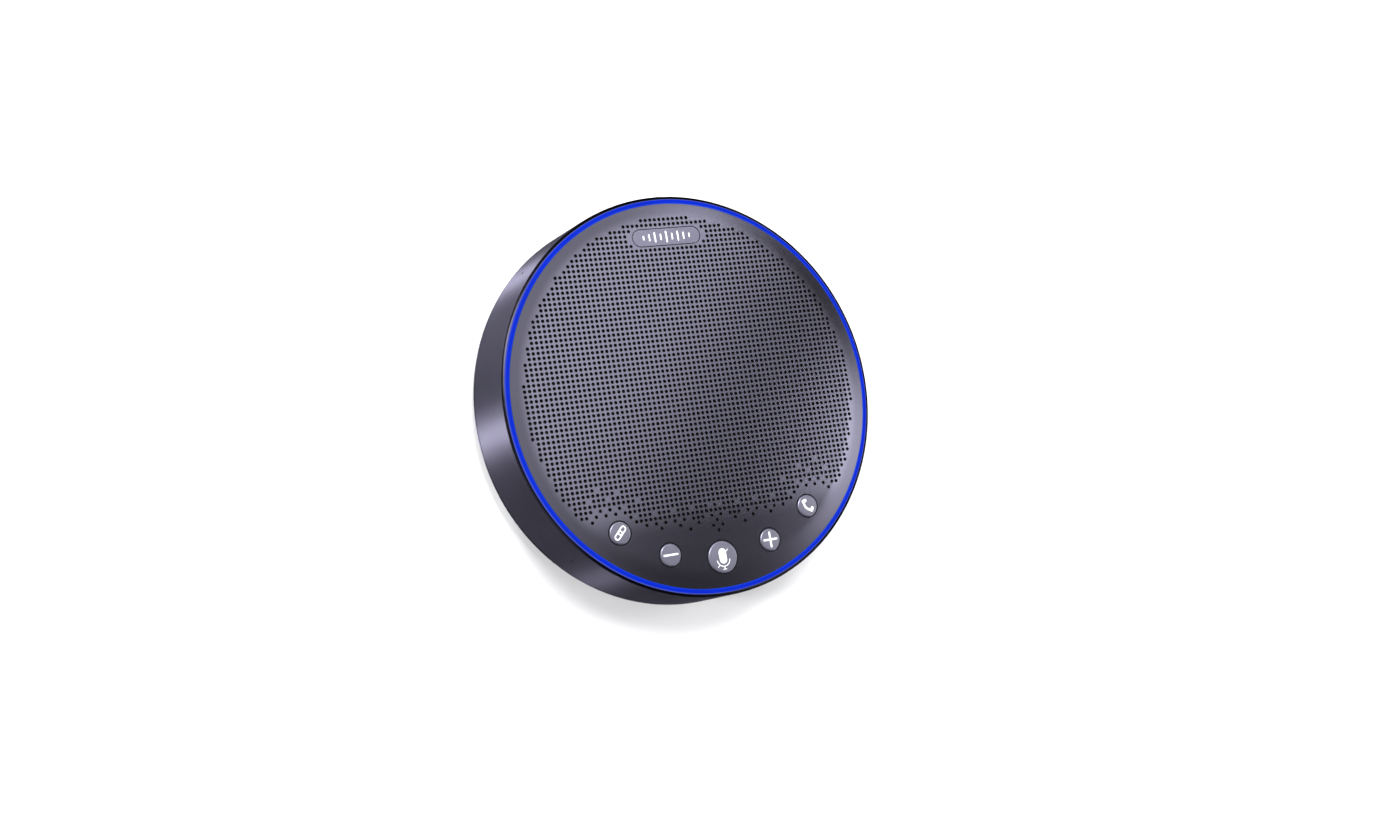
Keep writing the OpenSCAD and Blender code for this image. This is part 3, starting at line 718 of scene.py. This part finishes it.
def make_icon(key):
    """White pictogram printed thickly on a button."""
    (cx, cy), _ = button_at(key)
    solid, holes = icon_outlines(key)
    top = BUTTON_TOP_Z + 0.025
    if holes:
        rings = [flat_solid([s], [h], BUTTON_TOP_Z - 0.02, top) for s, h in zip(solid, holes)]
        for k, ring in enumerate(rings):
            lifted = ([(x + cx, y + cy, z - 0.003 * k) for x, y, z in ring[0]], ring[1])
            piece(f"{key}_icon_{k}", lifted, key + "_key", INK)
        return
    moved = [[(x + cx, y + cy) for x, y in loop] for loop in solid]
    shape = flat_solid(moved, [], BUTTON_TOP_Z - 0.02, top)
    piece(key + "_icon", shape, key + "_key", INK)


def make_button(key):
    """Disc with a polished bevel, a flange under the face and a stem."""
    (cx, cy), r = button_at(key)
    node = key + "_button"
    foot = low(node, Z)
    flange = foot + 1.1
    bevel = 0.42
    profile = [
        (0, foot), (1.6, foot), (1.6, flange), (r + FLANGE_EXTRA, flange), (r + FLANGE_EXTRA, flange + 0.8),
        (r, flange + 0.8), (r, BUTTON_TOP_Z - bevel), (r - 0.08, BUTTON_TOP_Z - 0.16),
        (r - 0.3, BUTTON_TOP_Z - 0.02), (r - 0.5, BUTTON_TOP_Z), (0, BUTTON_TOP_Z),
    ]
    verts, faces = lathe(profile, 96)
    shape = ([(x + cx, y + cy, z) for x, y, z in verts], faces)

    def pick(centre):
        away = math.hypot(centre.x - cx, centre.y - cy)
        # Black below the bevel: painted shade on the cap's side in the gap round it.
        if centre.z < BUTTON_TOP_Z - bevel:
            return 2
        return 1 if away > r - 0.5 else 0

    piece(node + "_cap", shape, key + "_key", [KEY, KEY_EDGE, BLACK], [node], pick=pick)
    make_icon(key)


def make_ring():
    """Crowned diffuser, with the flange that the face rests on."""
    inner = RING_R - RING_W
    flange_r = 62.6
    profile = fillet(
        [(flange_r, LEDGE_Z), (RING_R, LEDGE_Z), (RING_R, FACE_Z - 0.22), (RING_R - 0.55, FACE_Z - 0.03),
         (inner, FACE_Z - 0.01), (inner, GRILLE_Z), (flange_r, GRILLE_Z)],
        [0, 0, 0.15, 0.5, 0.12, 0, 0],
    )
    piece("glowing_ring", lathe(profile), "case", GLOW, ["light_ring"])


# ---------------------------------------------------------------- case
def wall_radius(z):
    return CASE_R - (CASE_R - FRONT_R) * (z - BACK_EDGE_Z) / (CHAMFER_Z - BACK_EDGE_Z)


def port_tool(x, z, w, h):
    """Bar with round ends to cut an opening in the rear wall."""
    return raw(flat_solid([stadium(x, z, w, h)], [], -PORT_FACE_Y - 6, -58), ALONG_Y)


def make_housing():
    """Side wall with its polished chamfer, microphone pinholes and port openings."""
    lip = RING_R + 0.05
    profile = fillet(
        [(WALL_IN_R, SEAM_HIGH_Z), (wall_radius(SEAM_HIGH_Z), SEAM_HIGH_Z), (FRONT_R, CHAMFER_Z),
         (lip, FACE_Z - 0.38), (lip, LEDGE_Z), (WALL_IN_R, LEDGE_Z)],
        [0, 0.15, 0.3, 0.06, 0, 0],
    )
    housing = raw(lathe(profile))
    jack = circle(middle("audio_jack", X), middle("audio_jack", Z), 3.1)
    tools = [
        port_tool(middle("usb_socket", X), middle("usb_socket", Z), 9.6, 3.8),
        port_tool(0, middle("power_button", Z), 10.1, 4.1),
        raw(flat_solid([jack], [], -72, -58), ALONG_Y),
    ]
    for angle in MIC_ANGLES:
        at = Matrix.Rotation(math.radians(angle), 3, "Z")
        pinhole = flat_solid([circle(0, MIC_Z, 0.6, 20)], [], WALL_IN_R - 2, CASE_R + 2)
        tools.append(raw(pinhole, at @ ALONG_X))
    combine(housing, tools, "DIFFERENCE")
    housing.name = "side_wall"

    def pick(centre):
        away = math.hypot(centre.x, centre.y)
        return 1 if centre.z > CHAMFER_Z + 0.16 and away > lip + 0.02 else 0

    finish_piece(housing, "case", [WALL, CHAMFER], ["side_housing"], pick)


def make_cover():
    """Dished base with the foot's groove, the dongle's bay and the screw holes."""
    inner = WALL_IN_R - 0.1
    profile = fillet(
        [(0, COVER_Z), (48.9, COVER_Z), (48.9, 2.4), (58.1, 2.4), (58.1, COVER_Z), (59.5, COVER_Z),
         (64.9, 3.3), (wall_radius(BACK_EDGE_Z), BACK_EDGE_Z), (wall_radius(SEAM_LOW_Z), SEAM_LOW_Z),
         (inner, SEAM_LOW_Z), (inner, 9), (62.3, 9), (62.3, 5.8), (57.5, 3.8), (0, 3.8)],
        [0, 0.2, 0, 0, 0.2, 3.0, 4.0, 0.5, 0.15, 0, 0, 0, 0, 0, 0],
    )
    cover = raw(lathe(profile))
    x0, x1 = -10.8, 20.0
    y0, y1 = -40.0, -24.0
    combine(cover, [raw(box_shape(-25.4, x1 + 1.2, y0 - 1.2, y1 + 1.2, COVER_Z + 0.002, 10.6))], "UNION")
    tools = [
        raw(rounded_box(x0, x1, y0, y1, -1, 9.4, 1.0)),
        raw(box_shape(-23.9, -10, -38.2, -25.8, 2.9, 7.8)),
        raw(flat_solid([circle(x1 - 1, (y0 + y1) / 2, 7)], [], -1, 2.4)),
    ]
    for angle in (52, 128, 218, 322):
        cx, cy = 53.5 * math.cos(math.radians(angle)), 53.5 * math.sin(math.radians(angle))
        tools.append(raw(flat_solid([circle(cx, cy, 2.5, 32)], [], 1.5, 4.3)))
    combine(cover, tools, "DIFFERENCE")
    cover.name = "base_shell"
    finish_piece(cover, "case", [BASE, WALL], ["bottom_cover"],
                 lambda centre: 1 if centre.z > 5.4 and math.hypot(centre.x, centre.y) > 65 else 0)


def make_foot():
    """Rubber ring with two shallow tread grooves."""
    inner, outer = 49.0, 58.0
    tread = [(inner + 1.2, 0), (inner + 2.6, 0), (inner + 2.9, 0.35), (inner + 3.4, 0.35), (inner + 3.7, 0)]
    tread += [(outer - 3.7, 0), (outer - 3.4, 0.35), (outer - 2.9, 0.35), (outer - 2.6, 0), (outer - 1.2, 0)]
    profile = [(inner, 2.4), (inner, 0.7), (inner + 0.3, 0.2)] + tread
    profile += [(outer - 0.3, 0.2), (outer, 0.7), (outer, 2.4)]
    piece("foot_ring", lathe(profile), "case", RUBBER, ["rubber_foot"])


def make_ports():
    """USB-C shell with its tongue, and the headphone socket."""
    ux, uz = middle("usb_socket", X), middle("usb_socket", Z)
    back = low("usb_socket", Y)
    tube = flat_solid([stadium(ux, uz, 8.94, 3.2)], [stadium(ux, uz, 8.34, 2.56)], -PORT_FACE_Y, -back)
    piece("usb_shell", tube, "case", TIN, ["usb_socket"], ALONG_Y)
    plug = flat_solid([stadium(ux, uz, 8.5, 2.7)], [], -back - 1, -back)
    piece("usb_insulator", plug, "case", BLACK, place=ALONG_Y)
    tongue = box_shape(ux - 3.35, ux + 3.35, uz - 0.35, uz + 0.35, -back - 5.6, -back - 0.9)
    piece("usb_tongue", tongue, "case", BLACK, place=ALONG_Y)
    pads = [rectangle(ux + (k - 5.5) * 0.5, uz, 0.26, 0.74) for k in range(12)]
    contacts = flat_solid(pads, [], -back - 5.3, -back - 1.5)
    piece("usb_contacts", contacts, "case", GOLD, place=ALONG_Y)

    jx, jz = middle("audio_jack", X), middle("audio_jack", Z)
    mouth = PORT_FACE_Y
    collar = fillet(
        [(1.8, mouth - 14), (1.8, mouth), (2.9, mouth), (2.9, mouth - 3.5), (3.5, mouth - 3.5),
         (3.5, mouth - 14)],
        [0, 0.3, 0.25, 0, 0, 0],
    )
    turn = Matrix(((1, 0, 0), (0, 0, 1), (0, 1, 0)))
    verts, faces = lathe(collar, 64)
    verts = [turn @ Vector(v) + Vector((jx, 0, jz)) for v in verts]
    piece("socket_barrel", (verts, faces), "case", BLACK, ["audio_jack"])
    ring = lathe([(1.62, mouth - 6.4), (1.62, mouth - 5.2), (1.8, mouth - 5.2), (1.8, mouth - 6.4)], 64)
    verts = [turn @ Vector(v) + Vector((jx, 0, jz)) for v in ring[0]]
    piece("socket_contact", (verts, ring[1]), "case", GOLD)
    stop = flat_solid([circle(jx, jz, 1.9, 32)], [], -mouth + 13.6, -mouth + 14)
    piece("socket_back", stop, "case", BLACK, place=ALONG_Y)
    body = box_shape(jx - 3.5, jx + 3.5, low("audio_jack", Y), low("audio_jack", Y) + 1.8, jz - 2.6, jz + 2.6)
    piece("socket_rear_block", body, "case", BLACK)


def make_power_key():
    """Rear key with a plain round power symbol."""
    z = middle("power_button", Z)
    front, back = high("power_button", Y), 62.6
    cap = flat_solid([stadium(0, z, 9.6, 3.6)], [], -front, -back)
    key = piece("power_key_cap", cap, "power_key", WALL, ["power_button"], ALONG_Y)
    soften(key, 0.3)
    flange = flat_solid([stadium(0, z, 11.6, 5.2)], [], -back - 1, -back)
    piece("power_key_flange", flange, "power_key", BLACK, place=ALONG_Y)
    stem = flat_solid([circle(0, z, 1.0, 32)], [], -back, -low("power_button", Y))
    piece("power_key_stem", stem, "power_key", BLACK, place=ALONG_Y)
    sign = [arc_stroke(0, z, 0.95, 125, 415, 0.24), capsule((0, z + 0.35), (0, z + 1.2), 0.24)]
    piece("power_symbol", flat_solid(sign, [], -front - 0.015, -front + 0.03), "power_key", INK,
          place=ALONG_Y)


# ---------------------------------------------------------------- dongle, plug towards -X
def make_dongle():
    """Dongle's shell with its recess and lamp window, end cap, and plug with its contacts."""
    tip, root = low("dongle_plug_shell", X), high("dongle_plug_shell", X)
    end = high("dongle_end_cap", X)
    cy, cz = middle("dongle_body", Y), middle("dongle_body", Z)
    w, t = 15.1, 7.5
    down = low("dongle_body", Z)

    section = fillet(rectangle(cy, cz, w, t), [0.9] * 4, 5)
    body = raw(flat_solid([section], [], root + 2.2, end - 1.5), ALONG_X)
    neck = fillet(rectangle(cy, cz, 13, 6.1), [0.7] * 4, 4)
    combine(body, [raw(flat_solid([neck], [], root, root + 2.6), ALONG_X)], "UNION")
    lens = arc_points(root - 6.6, cy, 11.4, -30, 30, 16)
    lens = [(root + 2.15, lens[0][1])] + lens + [(root + 2.15, lens[-1][1])]
    tools = [
        raw(flat_solid([lens], [], down - 1, down + 0.35)),
        raw(flat_solid([circle(root + 3.4, cy, 0.45, 24)], [], down - 1, down + 1.4)),
    ]
    combine(body, tools, "DIFFERENCE")
    body.name = "dongle_shell"
    finish_piece(body, "dongle", DONGLE, ["dongle_body"])
    soften(body, 0.18)

    radius = 19.75
    swell = [(end - 1.5, cy - w / 2 + 0.05)] + arc_points(end - radius, cy, radius, -22.3, 22.3, 18)
    swell += [(end - 1.5, cy + w / 2 - 0.05)]
    cap = piece("dongle_cap", flat_solid([swell], [], down + 0.15, down + t - 0.15), "dongle", DONGLE_CAP,
                ["dongle_end_cap"])
    soften(cap, 0.5, 3)

    outer = fillet(rectangle(cy, cz, 12, 4.5), [0.6] * 4, 4)
    inner = fillet(rectangle(cy, cz, 11.4, 3.9), [0.3] * 4, 4)
    shell = raw(flat_solid([outer], [inner], tip, root + 0.3), ALONG_X)
    tools = []
    for y in (-2.6, 2.6):
        window = rounded_box(tip + 5.25, tip + 7.55, cy + y - 1.15, cy + y + 1.15, cz - 3, cz + 3, 0.2)
        tools.append(raw(window))
        tools.append(raw(flat_solid([circle(root - 1.4, cy + y, 0.5, 20)], [], cz - 3, cz - 1.9)))
    combine(shell, tools, "DIFFERENCE")
    shell.name = "plug_shell"
    finish_piece(shell, "dongle", NICKEL, ["dongle_plug_shell"])
    soften(shell, 0.06)
    for k in range(4):
        y = cy + (k - 1.5) * 2.4
        pad = box_shape(tip + 1.4, tip + 8.8, y - 0.6, y + 0.6, cz + 0.02, cz + 0.06)
        piece(f"plug_contact_{k}", pad, "dongle", GOLD)


# ---------------------------------------------------------------- camera, floor and light
# The camera looks at a point on the face, from this far and at these angles
VIEW_TARGET = Vector((-4.32, -7.6, FACE_Z)) * MM
VIEW_DISTANCE = 562.8 * MM
VIEW_AZIMUTH, VIEW_ELEVATION, VIEW_ROLL = 192.304, 62.42, -68.892
LENS, SENSOR = 45.44, 36.0


def polar(azimuth, elevation, distance):
    """Vector of that length, at that azimuth from +X and elevation above the floor."""
    a, e = math.radians(azimuth), math.radians(elevation)
    return Vector((math.cos(a) * math.cos(e), math.sin(a) * math.cos(e), math.sin(e))) * distance


def make_camera():
    camera = bpy.data.objects.new("camera", bpy.data.cameras.new("camera"))
    bpy.context.collection.objects.link(camera)
    away = polar(VIEW_AZIMUTH, VIEW_ELEVATION, VIEW_DISTANCE)
    camera.location = VIEW_TARGET + away
    look = (-away).to_track_quat("-Z", "Y").to_matrix()
    camera.rotation_euler = (look @ Matrix.Rotation(math.radians(-VIEW_ROLL), 3, "Z")).to_euler()
    camera.data.lens = LENS
    camera.data.sensor_width = SENSOR
    camera.data.clip_start, camera.data.clip_end = 0.01, 20
    bpy.context.scene.camera = camera


# Soft rectangular lamps that face the middle of the device:
# azimuth and elevation in degrees, distance, width and height in m, power in W
LAMPS = {
    "overhead": (54, 71, 0.57, 0.35, 0.35, 1.18),
    "right_rim": (-2, 47, 0.73, 0.17, 0.17, 1.08),
    "rear_rim": (40, 50, 0.73, 0.08, 0.08, 0.43),
    "left_strip": (179, 7, 0.8, 0.1, 0.15, 12.0),
    "rear_strip": (115, 7, 0.8, 0.1, 0.15, 10.0),
    "front_strip": (251, 7, 0.8, 0.08, 0.15, 2.5),
    "rear_sky": (112, 68, 1.3, 0.4, 0.4, 12.5),
    "camera_side": (215, 50, 1.3, 0.8, 0.8, 2.6),
    "right_fill": (-35, 45, 1.3, 0.5, 0.5, 2.0),
    "right_strip": (318, 7, 0.8, 0.08, 0.15, 1.5),
}
# Radii in mm between which the floor's emission rises and it glows white: painted light
FLOOR_GLOW_RADII = (300, 800)
# The sky is white near the horizon and dim above: heights of the view direction, then strengths
SKY_FADE = (0.2, 0.42, 1.05, 0.09)


def area_light(name, azimuth, elevation, distance, width, height, power):
    data = bpy.data.lights.new(name, "AREA")
    data.shape = "RECTANGLE"
    data.size, data.size_y = width, height
    data.energy = power
    lamp = bpy.data.objects.new(name, data)
    bpy.context.collection.objects.link(lamp)
    away = polar(azimuth, elevation, distance)
    lamp.location = away + Vector((0, 0, 0.02))
    lamp.rotation_euler = (-away).to_track_quat("-Z", "Y").to_euler()
    lamp.visible_camera = False


def make_floor():
    """Pale plain floor whose emission makes it glow white far from the device: painted light standing in for
    a lit studio sweep.
    """
    s = Shader("pale_floor", (0.87, 0.87, 0.875), 0.9)
    s.vary_color(s.noise(3, 2), 0.01)
    away = s.new("ShaderNodeVectorMath", Vector=s.where)
    away.operation = "LENGTH"
    s.links.new(s.span(away.outputs["Value"], *FLOOR_GLOW_RADII), s.bsdf.inputs["Emission Strength"])
    s.bsdf.inputs["Emission Color"].default_value = (1, 1, 1, 1)
    half = 1.1
    mesh = bpy.data.meshes.new("floor")
    under = -0.02 * MM
    corners = [(-half, -half), (half, -half), (half, half), (-half, half)]
    mesh.from_pydata([(x, y, under) for x, y in corners], [], [(0, 1, 2, 3)])
    mesh.materials.append(s.done())
    floor = bpy.data.objects.new("floor", mesh)
    bpy.context.collection.objects.link(floor)


def make_light():
    world = bpy.data.worlds.new("studio")
    bpy.context.scene.world = world
    world.use_nodes = True
    nodes, links = world.node_tree.nodes, world.node_tree.links
    nodes["Background"].inputs["Color"].default_value = (0.95, 0.96, 1.0, 1)
    axes = nodes.new("ShaderNodeSeparateXYZ")
    links.new(nodes.new("ShaderNodeTexCoord").outputs["Generated"], axes.inputs[0])
    fade = nodes.new("ShaderNodeMapRange")
    for socket, value in zip(("From Min", "From Max", "To Min", "To Max"), SKY_FADE):
        fade.inputs[socket].default_value = value
    links.new(axes.outputs["Z"], fade.inputs["Value"])
    links.new(fade.outputs[0], nodes["Background"].inputs["Strength"])
    for name, setting in LAMPS.items():
        area_light(name, *setting)
    bpy.context.scene.view_settings.view_transform = "Standard"


finish_cad_nodes()
make_camera()
make_floor()
make_light()
make_face()
make_badge()
for key in BUTTONS:
    make_button(key)
make_ring()
make_housing()
make_cover()
make_foot()
make_ports()
make_power_key()
make_dongle()
